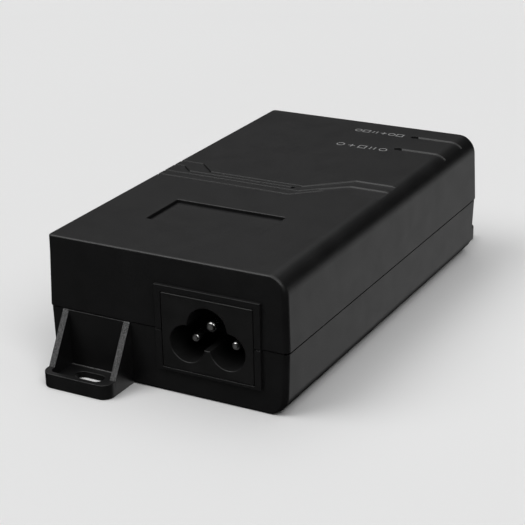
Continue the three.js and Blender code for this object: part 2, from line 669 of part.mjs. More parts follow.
add('output_capacitor_a', canCapacitor(14, 8.5, 5, 20), 'sleeve');
add('output_capacitor_b', canCapacitor(14, 20, 5, 20), 'sleeve');
add('secondary_heat_sink', heatSink(26, -16, 3), 'aluminium');
add('output_rectifier', powerPackage(26, -6.5), 'chip');
add('network_magnetics', chipPackage(26, 14, 12.4, 9, 6, 8), 'chip');
add('poe_controller', chipPackage(43.5, -22, 8, 4, 1.7, 6), 'chip');
POSTS.forEach(([x, y], i) => add(`case_screw_${i + 1}`, caseScrew(x, y), 'darkSteel'));
add('rating_label', ratingLabel(), 'paper');

export default injector;
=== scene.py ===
"""Visual model of a PoE injector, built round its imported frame.

Pieces are shaped in millimetres in the row's frame (+X towards the RJ45 end, +Z up, the
origin under the middle of the case) and turned into metres when they are finished.
"""
import math

import bmesh
import bpy
from mathutils import Matrix, Vector


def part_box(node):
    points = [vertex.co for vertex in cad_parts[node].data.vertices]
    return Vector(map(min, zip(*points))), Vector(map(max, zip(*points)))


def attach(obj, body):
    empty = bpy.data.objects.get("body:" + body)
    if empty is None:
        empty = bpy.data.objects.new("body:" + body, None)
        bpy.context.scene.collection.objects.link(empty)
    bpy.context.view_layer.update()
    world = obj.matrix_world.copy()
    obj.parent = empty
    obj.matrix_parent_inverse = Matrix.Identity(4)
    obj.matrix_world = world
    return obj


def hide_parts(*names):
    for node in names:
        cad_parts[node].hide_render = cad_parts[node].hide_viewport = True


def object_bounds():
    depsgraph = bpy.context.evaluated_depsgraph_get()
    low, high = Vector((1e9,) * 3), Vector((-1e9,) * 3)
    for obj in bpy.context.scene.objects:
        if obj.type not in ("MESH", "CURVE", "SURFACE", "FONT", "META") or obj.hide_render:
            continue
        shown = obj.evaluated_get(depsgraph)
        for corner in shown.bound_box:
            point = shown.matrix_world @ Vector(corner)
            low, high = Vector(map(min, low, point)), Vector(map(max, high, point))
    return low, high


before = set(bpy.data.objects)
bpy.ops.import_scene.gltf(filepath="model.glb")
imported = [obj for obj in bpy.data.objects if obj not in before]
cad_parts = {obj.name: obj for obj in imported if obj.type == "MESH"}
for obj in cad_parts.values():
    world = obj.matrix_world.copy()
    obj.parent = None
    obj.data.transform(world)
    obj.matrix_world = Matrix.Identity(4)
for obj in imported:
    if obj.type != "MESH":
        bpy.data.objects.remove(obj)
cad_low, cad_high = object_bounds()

scene = bpy.context.scene
MM = 0.001

# ------------------------------------------------------------------ sizes, in millimetres


def node_box(name):
    """Lowest and highest corner of a CAD node, in millimetres."""
    low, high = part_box(name)
    return low / MM, high / MM


def node_middle(name):
    """Middle of a CAD node's box, in millimetres."""
    low, high = node_box(name)
    return (low + high) / 2


def pin_axis(name):
    """A pin's y and z, its radius and the x of its tip. Its top is the highest point of its node."""
    low, high = node_box(name)
    radius = (high.y - low.y) / 2
    return (low.y + high.y) / 2, high.z - radius, radius, low.x


UPPER_LOW, UPPER_HIGH = node_box("upper_housing")
INLET_LOW, INLET_HIGH = node_box("inlet_body")

# The case: half its length and width at the seam, before the walls' draft
HALF_LENGTH = 53.8
HALF_WIDTH = 30.3
HEIGHT = UPPER_HIGH.z
SEAM_Z = 15.0
SEAM_GAP = 0.2
OVERHANG = 0.17          # the upper half stands this far outside the lower one at the seam
WALL = 2.0
UPPER_DRAFT = 0.03
LOWER_DRAFT = 0.012
LOWER_DRAFT_BROAD = 0.045    # on the side with the broad edges
BROAD = 4.4              # radius of the long edges on the -Y side
FINE = 0.28              # radius of the long edges on the +Y side
END = 0.5                # radius of the edges at both ends
WALL_INSIDE = -52.6      # boss and ledge reach this far into the end wall
OUTSIDE_X, OUTSIDE_Y = 52.4, 29.0    # edges beyond these lie on the outer walls

PANEL_Y = (INLET_LOW.y + INLET_HIGH.y) / 2
PANEL_HALF = 11.3
PANEL_BOTTOM, PANEL_TOP = 6.4, 24.0
PANEL_GAP = 0.13
BOSS_FACE = UPPER_LOW.x
BOSS_HALF = 13.0
LOBE_DEPTH = 12.5
LOBE_RADII = {"line_pin": 4.3, "neutral_pin": 4.3, "earth_pin": 4.9}

EAR_REACH = cad_high.x / MM
EAR_INNER, EAR_OUTER = 8.9, 26.7
EAR_HEIGHT, EAR_FLOOR, EAR_RIM, EAR_CORNER = 3.45, 1.5, 1.3, 2.6
RIB = 1.6
RIB_FOOT = 60.6
LEDGE_FACE = 53.92       # the wall between an ear's ribs stands this far out
SLOT_Y = (14.1, 21.5)
SLOT_X = (-59.4, -56.0)

LED_KINDS = ("power", "activity")
LED_Y = node_middle("power_light_pipe").y
LED_XS = {kind: node_middle(kind + "_light_pipe").x for kind in LED_KINDS}
LED_GROOVE = 0.36
POSTS = [tuple(node_middle("case_screw_%d" % number).xy) for number in (1, 2, 3, 4)]

LABEL_RECESS = (-35.1, -21.3, -13, 15.5)    # x from and to, y from and to
LABEL_DEPTH, LABEL_CHAMFER = 0.8, 0.16
TRACE_WIDTH, TRACE_BED, TRACE_DEPTH = 0.76, 0.4, 0.36
CHANNEL_DEPTH = 0.3
CLEAR = 5.0              # how far a cutting tool runs past what it cuts

# ------------------------------------------------------------------ mesh kit


def make_object(name, points, faces):
    mesh = bpy.data.meshes.new(name)
    mesh.from_pydata([tuple(p) for p in points], [], faces)
    obj = bpy.data.objects.new(name, mesh)
    scene.collection.objects.link(obj)
    work = bmesh.new()
    work.from_mesh(mesh)
    bmesh.ops.remove_doubles(work, verts=work.verts, dist=1e-5)
    bmesh.ops.recalc_face_normals(work, faces=work.faces)
    work.to_mesh(mesh)
    work.free()
    return obj


def loft(name, rings):
    """A closed skin over rings with equally many points, capped at both ends."""
    count = len(rings[0])
    points = [p for ring in rings for p in ring]
    faces = []
    for r in range(len(rings) - 1):
        for i in range(count):
            j = (i + 1) % count
            faces.append((r * count + i, r * count + j, (r + 1) * count + j, (r + 1) * count + i))
    faces.append(tuple(range(count)))
    faces.append(tuple(range((len(rings) - 1) * count, len(rings) * count)))
    return make_object(name, points, faces)


def prism(outline, axis, start, stop, name="tool"):
    """A 2-D outline run along one axis. The outline is in the other two axes, in order."""
    place = {
        "x": lambda p, d: (d, p[0], p[1]),
        "y": lambda p, d: (p[0], d, p[1]),
        "z": lambda p, d: (p[0], p[1], d),
    }[axis]
    return loft(name, [[place(p, d) for p in outline] for d in (start, stop)])


def box(x0, x1, y0, y1, z0, z1, name="tool"):
    return prism([(x0, y0), (x1, y0), (x1, y1), (x0, y1)], "z", z0, z1, name)


def arc(u, v, radius, start, stop, steps):
    """Points on an arc, angles in degrees."""
    turn = [math.radians(start + (stop - start) * i / steps) for i in range(steps + 1)]
    return [(u + radius * math.cos(a), v + radius * math.sin(a)) for a in turn]


def rounded(u0, u1, v0, v1, radii, steps=6):
    """A rectangle with rounded corners: one radius, or four from (u1, v0) anticlockwise."""
    r = [radii] * 4 if isinstance(radii, (int, float)) else radii
    return (arc(u1 - r[0], v0 + r[0], r[0], -90, 0, steps)
            + arc(u1 - r[1], v1 - r[1], r[1], 0, 90, steps)
            + arc(u0 + r[2], v1 - r[2], r[2], 90, 180, steps)
            + arc(u0 + r[3], v0 + r[3], r[3], 180, 270, steps))


def rod(axis, u, v, radius, start, stop, sides=48, name="tool"):
    return prism(arc(u, v, radius, 0, 360 * (sides - 1) / sides, sides - 1), axis, start, stop, name)


def lathe(name, profile, axis, u, v, sides=48):
    """A turned piece from (radius, height) pairs whose first and last radius is 0."""
    place = {
        "x": lambda a, b, h: (h, u + a, v + b),
        "z": lambda a, b, h: (u + a, v + b, h),
    }[axis]
    turn = [2 * math.pi * i / sides for i in range(sides)]
    rings = profile[1:-1]
    points = [place(r * math.cos(t), r * math.sin(t), h) for r, h in rings for t in turn]
    faces = []
    for k in range(len(rings) - 1):
        for i in range(sides):
            j = (i + 1) % sides
            faces.append((k * sides + i, k * sides + j, (k + 1) * sides + j, (k + 1) * sides + i))
    for pole, base in ((profile[0], 0), (profile[-1], (len(rings) - 1) * sides)):
        points.append(place(0, 0, pole[1]))
        for i in range(sides):
            faces.append((len(points) - 1, base + i, base + (i + 1) % sides))
    return make_object(name, points, faces)


def bake(obj):
    """Put the modifiers' result into the object's own mesh."""
    graph = bpy.context.evaluated_depsgraph_get()
    result = bpy.data.meshes.new_from_object(obj.evaluated_get(graph))
    obj.modifiers.clear()
    obj.data = result
    return obj


def combine(obj, operation, tools):
    for tool in tools:
        step = obj.modifiers.new("step", "BOOLEAN")
        step.operation = operation
        step.solver = "EXACT"
        step.object = tool
    bake(obj)
    for tool in tools:
        bpy.data.objects.remove(tool)
    return obj


def cut(obj, *tools):
    return combine(obj, "DIFFERENCE", tools)


def join(obj, *tools):
    return combine(obj, "UNION", tools)


def clean(obj):
    work = bmesh.new()
    work.from_mesh(obj.data)
    bmesh.ops.remove_doubles(work, verts=work.verts, dist=2e-3)
    bmesh.ops.dissolve_degenerate(work, edges=work.edges, dist=1e-3)
    work.to_mesh(obj.data)
    work.free()


def soften(obj, width, wanted, segments=2, sharpest=25):
    """Round the outward edges whose middle point and face normals pass `wanted`."""
    work = bmesh.new()
    work.from_mesh(obj.data)
    edges = []
    for edge in work.edges:
        if len(edge.link_faces) != 2:
            continue
        if edge.calc_face_angle_signed() < math.radians(sharpest):
            continue
        middle = (edge.verts[0].co + edge.verts[1].co) / 2
        if wanted(middle):
            edges.append(edge)
    bmesh.ops.bevel(work, geom=edges, offset=width, offset_type="OFFSET", segments=segments,
                    profile=0.5, affect="EDGES", clamp_overlap=False, loop_slide=True)
    bmesh.ops.remove_doubles(work, verts=work.verts, dist=1e-3)
    work.to_mesh(obj.data)
    work.free()
    return obj


def crease_corners(mesh, inward=20, outward=50):
    """Keep corners crisp, so that flat faces are shaded flat right up to them."""
    work = bmesh.new()
    work.from_mesh(mesh)
    for edge in work.edges:
        if len(edge.link_faces) != 2:
            continue
        turn = math.degrees(edge.calc_face_angle_signed())
        if turn < -inward or turn > outward:
            edge.smooth = False
    work.to_mesh(mesh)
    work.free()


def finish_piece(obj, mat, replaces=(), smooth=True):
    """Metres, smooth normals weighted by face area, material and body; hides the CAD nodes it replaces."""
    obj.data.transform(Matrix.Scale(MM, 4))
    for face in obj.data.polygons:
        face.use_smooth = smooth
    if smooth:
        crease_corners(obj.data)
        step = obj.modifiers.new("normals", "WEIGHTED_NORMAL")
        step.mode = "FACE_AREA_WITH_ANGLE"
        step.weight = 80
        step.keep_sharp = True
        bake(obj)
    obj.data.materials.clear()
    obj.data.materials.append(mat)
    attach(obj, "root")
    if replaces:
        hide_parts(*replaces)
    return obj


def turned_copy(obj, name):
    """The same shape turned half a turn about the vertical axis."""
    twin = bpy.data.objects.new(name, obj.data.copy())
    twin.data.transform(Matrix.Rotation(math.pi, 4, "Z"))
    scene.collection.objects.link(twin)
    return twin


# ------------------------------------------------------------------ materials


def material(name, colour, roughness, metallic=0.0, specular=0.5):
    mat = bpy.data.materials.new(name)
    mat.use_nodes = True
    shader = mat.node_tree.nodes["Principled BSDF"]
    shader.inputs["Base Color"].default_value = (*colour, 1)
    shader.inputs["Roughness"].default_value = roughness
    shader.inputs["Metallic"].default_value = metallic
    shader.inputs["Specular IOR Level"].default_value = specular
    return mat


def add_node(mat, kind, **values):
    node = mat.node_tree.nodes.new(kind)
    for key, value in values.items():
        if key in node.inputs:
            node.inputs[key].default_value = value
        else:
            setattr(node, key, value)
    return node


def link(mat, source, target):
    mat.node_tree.links.new(source, target)


def noise(mat, size_mm, detail=3.0, stretch=None):
    """Noise in object space whose features are about `size_mm` across."""
    place = add_node(mat, "ShaderNodeTexCoord")
    texture = add_node(mat, "ShaderNodeTexNoise", Scale=1.0, Detail=detail)
    scale = add_node(mat, "ShaderNodeVectorMath", operation="MULTIPLY")
    per_metre = 1 / (size_mm * MM)
    scale.inputs[1].default_value = [per_metre / s for s in (stretch or (1, 1, 1))]
    link(mat, place.outputs["Object"], scale.inputs[0])
    link(mat, scale.outputs[0], texture.inputs["Vector"])
    return texture.outputs["Fac"]


def spread(mat, value, low, high):
    """Map a 0..1 signal's busy middle to low..high."""
    node = add_node(mat, "ShaderNodeMapRange")
    node.inputs["From Min"].default_value = 0.3
    node.inputs["From Max"].default_value = 0.7
    node.inputs["To Min"].default_value = low
    node.inputs["To Max"].default_value = high
    link(mat, value, node.inputs["Value"])
    return node.outputs["Result"]


def tint(mat, value, dark, light):
    """Colour that runs from dark to light with a 0..1 signal. Each is a colour or a socket."""
    node = add_node(mat, "ShaderNodeMix", data_type="RGBA")
    ends = [s for s in node.inputs if s.type == "RGBA"]
    for target, colour in zip(ends, (dark, light)):
        if isinstance(colour, tuple):
            target.default_value = (*colour, 1)
        else:
            link(mat, colour, target)
    link(mat, value, node.inputs["Factor"])
    return next(s for s in node.outputs if s.type == "RGBA")


def bump(mat, signals):
    """Chain bumps from (height signal, depth in mm) pairs onto the shader."""
    shader = mat.node_tree.nodes["Principled BSDF"]
    normal = None
    for signal, depth_mm in signals:
        node = add_node(mat, "ShaderNodeBump", Strength=1.0, Distance=depth_mm * MM)
        link(mat, signal, node.inputs["Height"])
        if normal is not None:
            link(mat, normal, node.inputs["Normal"])
        normal = node.outputs["Normal"]
    link(mat, normal, shader.inputs["Normal"])


def vary(mat, size_mm, dark, light, rough_low, rough_high, stretch=None):
    """Broad, slight change of colour and roughness over a surface."""
    shader = mat.node_tree.nodes["Principled BSDF"]
    signal = spread(mat, noise(mat, size_mm, 4.0, stretch), 0.0, 1.0)
    link(mat, tint(mat, signal, dark, light), shader.inputs["Base Color"])
    rough = add_node(mat, "ShaderNodeMapRange")
    rough.inputs["To Min"].default_value = rough_low
    rough.inputs["To Max"].default_value = rough_high
    link(mat, signal, rough.inputs["Value"])
    link(mat, rough.outputs["Result"], shader.inputs["Roughness"])


def compute(mat, operation, *values):
    """A Math node over sockets and numbers."""
    node = add_node(mat, "ShaderNodeMath", operation=operation)
    for target, value in zip(node.inputs, values):
        if isinstance(value, (int, float)):
            target.default_value = value
        else:
            link(mat, value, target)
    return node.outputs[0]


def specks(mat, spacing_mm, radius_mm, share):
    """1 on sparse small specks, 0 elsewhere."""
    place = add_node(mat, "ShaderNodeTexCoord")
    cells = add_node(mat, "ShaderNodeTexVoronoi", Scale=1 / (spacing_mm * MM))
    link(mat, place.outputs["Object"], cells.inputs["Vector"])
    near = compute(mat, "LESS_THAN", cells.outputs["Distance"], radius_mm / spacing_mm)
    picked = add_node(mat, "ShaderNodeSeparateColor")
    link(mat, cells.outputs["Color"], picked.inputs["Color"])
    return compute(mat, "MULTIPLY", near, compute(mat, "LESS_THAN", picked.outputs[0], share))


def sloping(mat):
    """1 on the ribs' sloping faces, which face outward and up below the seam."""
    surface = add_node(mat, "ShaderNodeNewGeometry")
    facing = add_node(mat, "ShaderNodeSeparateXYZ")
    link(mat, surface.outputs["Normal"], facing.inputs[0])
    place = add_node(mat, "ShaderNodeSeparateXYZ")
    link(mat, surface.outputs["Position"], place.inputs[0])
    outward = compute(mat, "GREATER_THAN", compute(mat, "ABSOLUTE", facing.outputs["X"]), 0.6)
    upward = compute(mat, "GREATER_THAN", facing.outputs["Z"], 0.4)
    beyond = compute(mat, "GREATER_THAN", compute(mat, "ABSOLUTE", place.outputs["X"]), 53.3 * MM)
    below = compute(mat, "LESS_THAN", place.outputs["Z"], 14.9 * MM)
    return compute(mat, "MULTIPLY", compute(mat, "MULTIPLY", outward, upward),
                   compute(mat, "MULTIPLY", beyond, below))


# Pale grey of the dust specks, also used for the painted highlight on the ribs' sloping faces.
DUST_AND_HIGHLIGHT_COLOUR = (0.3, 0.3, 0.3)


def moulded(name, dark, light, rough_low, rough_high, grain_mm, depth_mm, dust_and_slope_highlight=False):
    """Moulded plastic: fine grain over a faint unevenness; if asked, also sandy ribs with a painted highlight
    that tints their sloping faces paler, and dust specks.
    """
    mat = material(name, dark, rough_low)
    vary(mat, 6.0, dark, light, rough_low, rough_high)
    heights = [(noise(mat, grain_mm, 2.0), depth_mm), (noise(mat, 9.0, 2.0), depth_mm)]
    if dust_and_slope_highlight:
        shader = mat.node_tree.nodes["Principled BSDF"]
        base = shader.inputs["Base Color"].links[0].from_socket
        coarse = sloping(mat)
        sand = compute(mat, "MULTIPLY", coarse, spread(mat, noise(mat, 0.26, 1.0), 0.0, 1.0))
        heights.append((sand, 0.06))
        # Painted highlight: the sandy grain on the ribs' upward sloping faces is tinted paler, for the light
        # they catch.
        painted_slope_highlight = compute(mat, "MULTIPLY", sand, 0.4)
        dust = compute(mat, "MULTIPLY", specks(mat, 5.0, 0.09, 0.35), 0.5)
        pale = tint(mat, compute(mat, "MAXIMUM", painted_slope_highlight, dust), base, DUST_AND_HIGHLIGHT_COLOUR)
        link(mat, pale, shader.inputs["Base Color"])
    bump(mat, heights)
    return mat


CASE = moulded("case plastic", (0.006, 0.006, 0.0062), (0.008, 0.008, 0.0082), 0.37, 0.42, 0.22, 0.032, True)
INLET = moulded("inlet plastic", (0.006, 0.006, 0.006), (0.009, 0.009, 0.009), 0.4, 0.5, 0.3, 0.015)
JACK = moulded("jack plastic", (0.006, 0.006, 0.006), (0.009, 0.009, 0.009), 0.4, 0.5, 0.3, 0.01)


def metal(name, dark, light, rough_low, rough_high, stretch=None):
    mat = material(name, dark, rough_low, metallic=1.0)
    vary(mat, 2.0, dark, light, rough_low, rough_high, stretch)
    bump(mat, [(noise(mat, 0.3, 3.0, stretch), 0.004)])
    return mat


PLATING = metal("pin plating", (0.8, 0.8, 0.78), (0.9, 0.9, 0.88), 0.22, 0.34)
SHIELD = metal("shield metal", (0.42, 0.43, 0.44), (0.55, 0.56, 0.57), 0.25, 0.4, (6, 1, 1))
GOLD = metal("contact gold", (0.75, 0.5, 0.16), (0.85, 0.6, 0.22), 0.18, 0.3)
SCREW = metal("screw steel", (0.03, 0.03, 0.032), (0.06, 0.06, 0.065), 0.3, 0.45)
LENS = material("light pipe", (0.22, 0.22, 0.21), 0.25)
vary(LENS, 0.6, (0.1, 0.1, 0.1), (0.18, 0.18, 0.175), 0.3, 0.45)
INK = material("printed ink", (0.4, 0.4, 0.4), 0.6)
vary(INK, 0.5, (0.27, 0.27, 0.27), (0.36, 0.36, 0.36), 0.55, 0.7)
LABEL = material("label film", (0.3, 0.3, 0.3), 0.4)
vary(LABEL, 12.0, (0.34, 0.34, 0.34), (0.4, 0.4, 0.4), 0.35, 0.45)

# ------------------------------------------------------------------ case halves


def edge_offset(radius, below):
    """How far a rounded edge stands in from the wall, `below` the face it meets."""
    if below >= radius:
        return 0.0
    return radius - math.sqrt(radius ** 2 - (radius - below) ** 2)


def case_body(name, side, inset, shrink=0.0, smoothness=14):
    """One case half, solid: a stack of plan outlines from the seam to the far face."""
    draft = UPPER_DRAFT if side > 0 else LOWER_DRAFT
    broad_draft = UPPER_DRAFT if side > 0 else LOWER_DRAFT_BROAD
    reach = (HEIGHT - SEAM_Z if side > 0 else SEAM_Z) - inset
    broad, fine, end = [max(r - inset, 0.3) for r in (BROAD, FINE, END)]
    depths = {0.0, reach}
    for radius, steps in ((broad, smoothness), (fine, smoothness // 2), (end, smoothness // 2)):
        for i in range(1, steps + 1):
            depths.add(radius * (1 - math.cos(math.pi / 2 * i / steps)))
    levels = []
    for depth in sorted(depths):
        if not levels or depth - levels[-1] > 0.012:
            levels.append(depth)
    rings = []
    for below in levels:
        lean = draft * (reach - below) + inset + shrink
        broad_lean = broad_draft * (reach - below) + inset + shrink
        blend = min(below / broad, 1) ** 0.5
        corner = max(0.7 + 0.7 * blend - inset, 0.25)
        left_corner = max(0.6 + 0.4 * blend - inset, 0.25)
        back_corner = max(0.7 + 1.6 * min(below / 1.5, 1) ** 0.5 - inset, 0.25)
        x1 = HALF_LENGTH - lean - edge_offset(end, below)
        y0 = -HALF_WIDTH + broad_lean + edge_offset(broad, below)
        y1 = HALF_WIDTH - lean - edge_offset(fine, below)
        z = SEAM_Z + side * (reach - below)
        outline = rounded(-x1, x1, y0, y1, (corner, back_corner, left_corner, corner), 8)
        rings.append([(x, y, z) for x, y in outline])
    return loft(name, rings)


def seam_slab(inset, radius, z0, z1):
    """A flat slab of the case's plan, set in from its walls."""
    u, v = HALF_LENGTH - inset, HALF_WIDTH - inset
    return prism(rounded(-u, u, -v, v, radius, 4), "z", z0, z1)


def boss(z0, z1):
    """The raised frame round the inlet."""
    return box(BOSS_FACE, WALL_INSIDE, PANEL_Y - BOSS_HALF, PANEL_Y + BOSS_HALF, z0, z1)


def inlet_opening():
    half = PANEL_HALF + PANEL_GAP
    outline = rounded(PANEL_Y - half, PANEL_Y + half, PANEL_BOTTOM - PANEL_GAP,
                      PANEL_TOP + PANEL_GAP, 0.3, 3)
    return prism(outline, "x", -60, -50)


def jack_openings():
    tools = []
    for jack in ("lan_jack_shield", "poe_jack_shield"):
        low, high = node_box(jack)
        tools.append(box(50, 60, low.y - 0.2, high.y + 0.2, low.z - 0.2, high.z + 0.2))
    return tools


def strip_outline(points, width):
    """Left and right side of a bent line of constant width, with mitred corners."""
    line = [Vector(p) for p in points]
    left, right = [], []
    for i, point in enumerate(line):
        before = (point - line[i - 1]).normalized() if i else None
        after = (line[i + 1] - point).normalized() if i + 1 < len(line) else None
        along = before or after
        mean = ((before or after) + (after or before)).normalized()
        mitre = Vector((-mean.y, mean.x))
        mitre *= width / 2 / mitre.dot(Vector((-along.y, along.x)))
        left.append(point + mitre)
        right.append(point - mitre)
    return left, right


def groove(points, width, bed, depth):
    """A groove with sloping sides, `bed` wide at the bottom and `width` wide at the surface."""
    above = 0.6
    flare = width + (width - bed) * above / depth
    bottom_left, bottom_right = strip_outline(points, bed)
    top_left, top_right = strip_outline(points, flare)
    rings = []
    for bl, br, tl, tr in zip(bottom_left, bottom_right, top_left, top_right):
        rings.append([(bl.x, bl.y, HEIGHT - depth), (br.x, br.y, HEIGHT - depth),
                      (tr.x, tr.y, HEIGHT + above), (tl.x, tl.y, HEIGHT + above)])
    return loft("tool", rings)


def widened(points, by):
    """A closed outline moved outward by a constant distance, with mitred corners."""
    count = len(points)
    area = sum(points[i - 1][0] * points[i][1] - points[i][0] * points[i - 1][1] for i in range(count))
    side = 1 if area > 0 else -1
    moved = []
    for i in range(count):
        corner = Vector(points[i])
        before = (corner - Vector(points[i - 1])).normalized()
        after = (Vector(points[(i + 1) % count]) - corner).normalized()
        outward = Vector((before.y + after.y, -before.x - after.x)).normalized() * side
        moved.append(corner + outward * by / outward.dot(Vector((before.y, -before.x)) * side))
    return [tuple(p) for p in moved]


def channel(corners, depth):
    """A shallow flat-bottomed recess with sloping walls."""
    slope = 0.12         # how far the walls lean in below the surface outline, and out above it
    above = 0.5
    levels = ((-depth, -slope), (above, slope + 2 * slope * above / depth))
    return loft("tool", [[(x, y, HEIGHT + z) for x, y in widened(corners, by)] for z, by in levels])


# The lid's decorative lines: middle lines of the narrow ones, outlines of the wide ones
TRACES = [
    [(3.8, 32), (3.8, 23.6), (-0.8, 18.8), (-0.8, -6.4)],
    [(0.5, 32), (0.5, 27.1), (-2.5, 23.9), (-2.5, -4.6)],
    [(-4.3, 32), (-4.3, -7.1), (-0.9, -11)],
    [(-7.3, 32), (-7.3, -6.3), (-1, -13.2)],
]
CHANNELS = [
    [(-1.1, -6.1), (8.4, -16.6), (8.4, -34), (5.8, -34), (5.8, -17.5), (-1.1, -9.6)],
    [(-1.2, -10.3), (4.1, -17), (4.1, -34), (-1.2, -34)],
]


def led_groove(x):
    """A channel that runs from a status light over the rounded edge, as deep all the way."""
    centre_y = -(HALF_WIDTH - UPPER_DRAFT * (HEIGHT - SEAM_Z - BROAD) - BROAD)
    centre_z = HEIGHT - BROAD
    above = BROAD + 1
    rings = []
    for across, depth in ((-1.05, -0.3), (-0.7, LED_GROOVE), (0.35, LED_GROOVE), (0.85, -0.3)):
        bed = BROAD - depth
        outline = ([(LED_Y - 0.65, centre_z + above)]
                   + arc(centre_y, centre_z, above, 90, 135, 8)
                   + arc(centre_y, centre_z, bed, 135, 90, 8)
                   + [(LED_Y - 0.65, centre_z + bed)])
        rings.append([(x + across, y, z) for y, z in outline])
    return loft("tool", rings)


def label_recess():
    """A recess with upright walls, chamfered at the surface."""
    rim = rounded(*LABEL_RECESS, 0.25, 3)
    above = 0.5
    levels = ((-LABEL_DEPTH, 0.0), (-LABEL_CHAMFER, 0.0), (above, above + LABEL_CHAMFER))
    return loft("tool", [[(x, y, HEIGHT + z) for x, y in widened(rim, by)] for z, by in levels])


def on_outer_wall(p):
    return abs(p.x) > OUTSIDE_X or abs(p.y) > OUTSIDE_Y


def above_seam(z0, z1, y_end=40):
    """A slab as long as the box, to cut a half off at the seam."""
    return box(-70, 70, -40, y_end, z0, z1)


def build_upper():
    shell = case_body("upper_shell", 1, 0)
    join(shell, boss(SEAM_Z, PANEL_TOP + 1.6))
    cut(shell, case_body("tool", 1, WALL, smoothness=4), seam_slab(0.9, 0.6, SEAM_Z - 1, SEAM_Z + 2))
    join(shell, *[rod("z", x, y, 3.2, SEAM_Z, HEIGHT - 1, 32) for x, y in POSTS])
    cut(shell, *[rod("z", x, y, 1.6, SEAM_Z - 1, 24.6, 24) for x, y in POSTS],
        inlet_opening(), *jack_openings(), above_seam(SEAM_Z - CLEAR, SEAM_Z + SEAM_GAP / 2))
    cut(shell, label_recess())
    cut(shell, *[groove(line, TRACE_WIDTH, TRACE_BED, TRACE_DEPTH) for line in TRACES])
    cut(shell, *[channel(corners, CHANNEL_DEPTH) for corners in CHANNELS])
    cut(shell, rod("z", -2.5, -4.9, 0.6, HEIGHT - 0.6, HEIGHT + 1, 24))
    cut(shell, *[led_groove(x) for x in LED_XS.values()])
    cut(shell, *[rod("z", x, LED_Y, 0.95, HEIGHT - 6, HEIGHT + 1, 32) for x in LED_XS.values()])
    clean(shell)

    def outside(p):
        return on_outer_wall(p) or p.z > HEIGHT - 1.4

    soften(shell, 0.09, outside)
    return finish_piece(shell, CASE, ["upper_housing"])


def ear_solid():
    """The inlet end's screw ear: tray, two sloping ribs, slot and a small fillet at the wall."""
    inside = -52.0
    plan = ([(inside, EAR_INNER), (inside, EAR_OUTER)]
            + arc(-EAR_REACH + EAR_CORNER, EAR_OUTER - EAR_CORNER, EAR_CORNER, 90, 180, 12)
            + arc(-EAR_REACH + EAR_CORNER, EAR_INNER + EAR_CORNER, EAR_CORNER, 180, 270, 12))
    rib = [(inside, 0.5), (inside, SEAM_Z - 0.1), (-53.75, SEAM_Z - 0.1),
           (-RIB_FOOT, EAR_HEIGHT - 0.02), (-RIB_FOOT, 0.5)]
    body = prism(plan, "z", 0, EAR_HEIGHT, "ear")
    join(body, *[prism(rib, "y", y, y + RIB) for y in (EAR_INNER, EAR_OUTER - RIB)])
    y0, y1 = EAR_INNER + RIB, EAR_OUTER - RIB
    inner = EAR_CORNER - EAR_RIM
    tray = ([(-53.0, y0), (-53.0, y1)]
            + arc(-EAR_REACH + EAR_RIM + inner, y1 - inner, inner, 90, 180, 8)
            + arc(-EAR_REACH + EAR_RIM + inner, y0 + inner, inner, 180, 270, 8))
    slot = rounded(*SLOT_X, *SLOT_Y, 1.69, 10)
    cut(body, prism(tray, "z", EAR_FLOOR, SEAM_Z), prism(slot, "z", -1, EAR_FLOOR + 1))
    foot = [(-53.5, EAR_FLOOR - 0.1), (-LEDGE_FACE - 0.2, EAR_FLOOR - 0.02),
            (-LEDGE_FACE + 0.02, EAR_FLOOR + 0.18), (-53.5, EAR_FLOOR + 0.18)]
    return join(body, prism(foot, "y", y0 - 0.1, y1 + 0.1))


def build_lower():
    shell = case_body("lower_shell", -1, 0, OVERHANG)
    ledge = box(-LEDGE_FACE, WALL_INSIDE, EAR_INNER + RIB, EAR_OUTER - RIB, 1, SEAM_Z)
    join(shell, boss(PANEL_BOTTOM - 0.9, SEAM_Z), turned_copy(ledge, "tool"), ledge)
    cut(shell, case_body("tool", -1, WALL, OVERHANG, smoothness=4))
    ear = ear_solid()
    join(shell, turned_copy(ear, "tool"), ear)
    join(shell, *[rod("z", x, y, 4, WALL / 2, SEAM_Z, 32) for x, y in POSTS],
         *[rod("z", x - math.copysign(8, x), y, 2, WALL / 2, 4.1, 24) for x, y in POSTS])
    bottom = SEAM_Z - SEAM_GAP / 2
    cut(shell, above_seam(bottom, SEAM_Z + CLEAR), above_seam(bottom - 0.2, SEAM_Z + CLEAR, -29.2))
    lip = seam_slab(1.2, 0.5, SEAM_Z - 1, SEAM_Z + 1.7)
    cut(lip, seam_slab(2.0, 0.5, SEAM_Z - 2, SEAM_Z + 3))
    join(shell, lip)
    cut(shell, *[rod("z", x, y, 2.9, -1, 3.0, 32) for x, y in POSTS],
        *[rod("z", x, y, 1.7, 0, SEAM_Z + 3, 24) for x, y in POSTS], inlet_opening(), *jack_openings())
    low, high = node_box("rating_label")
    cut(shell, prism(rounded(low.x - 0.3, high.x + 0.3, low.y - 0.3, high.y + 0.3, 1.8), "z", -1, 0.45))
    clean(shell)

    def outside(p):
        if p.z > SEAM_Z - 0.4:
            return abs(p.x) > LEDGE_FACE - 0.05
        return on_outer_wall(p) or p.z < 0.9

    soften(shell, 0.1, outside)
    return finish_piece(shell, CASE, ["lower_housing"])


# ------------------------------------------------------------------ mains inlet


